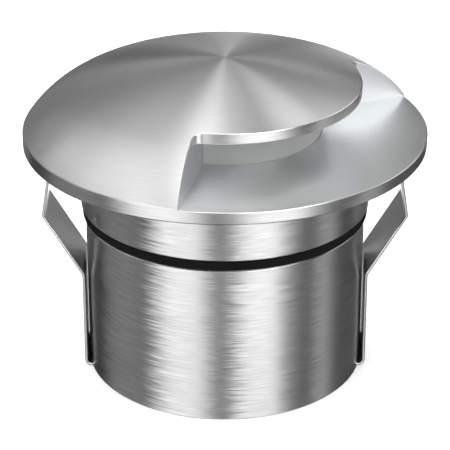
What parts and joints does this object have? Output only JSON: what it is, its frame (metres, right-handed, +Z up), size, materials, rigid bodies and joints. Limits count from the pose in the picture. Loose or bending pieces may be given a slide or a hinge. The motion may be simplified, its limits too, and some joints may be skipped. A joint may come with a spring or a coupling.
{
  "type": "in-ground well light",
  "caption": "Recessed ground light with a domed steel face, a one-way pocket under an eyelid, a screw-off head and leaf spring clips.",
  "frame": {"origin": "middle of the body's lower edge, on the surface it stands on", "axes": "+Z up through the dome; the spring clips lie on X; the pocket faces +X and -Y"},
  "size_m": [0.06, 0.06, 0.0491],
  "materials": {
    "turned_steel": "fine turned, satin",
    "brushed_steel": "brushed round the body",
    "spring_steel": "smooth rolled strip",
    "frosted_window": "frosted",
    "black_rubber": "matte",
    "white_plastic": "semi-gloss",
    "aluminium": "machined",
    "pad_grey": "matte",
    "board_white": "solder mask",
    "board_green": "solder mask",
    "chip_yellow": "phosphor gel",
    "screw_steel": "plain",
    "lead_red": "extruded",
    "can_black": "sleeved",
    "coil_grey": "ferrite",
    "terminal_grey": "moulded",
    "black_plastic": "moulded",
    "nickel_brass": "nickel plated"
  },
  "bodies": {
    "body": {"body_tube": "brushed_steel", "led_carrier": "aluminium", "carrier_ring": "spring_steel", "thermal_pad": "pad_grey", "led_board": "board_white", "led_chips": "chip_yellow", "reflector_cup": "white_plastic", "board_screws": "screw_steel", "led_leads": "lead_red", "driver_board": "board_green", "driver_posts": "nickel_brass", "driver_screws": "screw_steel", "driver_capacitor": "can_black", "driver_coil": "coil_grey", "driver_rectifier": "can_black", "terminal_block": "terminal_grey", "base_cover": "black_plastic", "base_seal": "black_rubber", "base_screws": "screw_steel", "gland_body": "nickel_brass", "gland_grommet": "black_rubber", "gland_nut": "nickel_brass", "gland_locknut": "nickel_brass", "left_clip_hook": "spring_steel", "right_clip_hook": "spring_steel"},
    "ring_seal": {"neck_seal": "black_rubber"},
    "face": {"face_cap": "turned_steel", "light_window": "frosted_window", "window_seal": "black_rubber", "deflector": "white_plastic", "neck_collar": "brushed_steel"},
    "left_arm": {"left_clip_arm": "spring_steel"},
    "right_arm": {"right_clip_arm": "spring_steel"}
  },
  "joints": [
    {"name": "face_turn", "type": "hinge", "parent": "body", "child": "ring_seal", "pos_m": [0, 0, 0.02567], "axis": [0, 0, 1], "range_deg": [0, 720]},
    {"name": "face_lift", "type": "slide", "parent": "ring_seal", "child": "face", "axis": [0, 0, 1], "range_m": [0, 0.003]},
    {"name": "left_arm_flex", "type": "hinge", "parent": "body", "child": "left_arm", "pos_m": [-0.02146, 0, 0.01649], "axis": [0, 1, 0], "range_deg": [0, 11], "stiffness_Nm_per_rad": 1.5},
    {"name": "right_arm_flex", "type": "hinge", "parent": "body", "child": "right_arm", "pos_m": [0.02146, 0, 0.01649], "axis": [0, -1, 0], "range_deg": [0, 11], "stiffness_Nm_per_rad": 1.5}
  ],
  "couplings": [
    {"joint": "face_lift", "follows": "face_turn", "m_per_rad": 0.0002387}
  ]
}
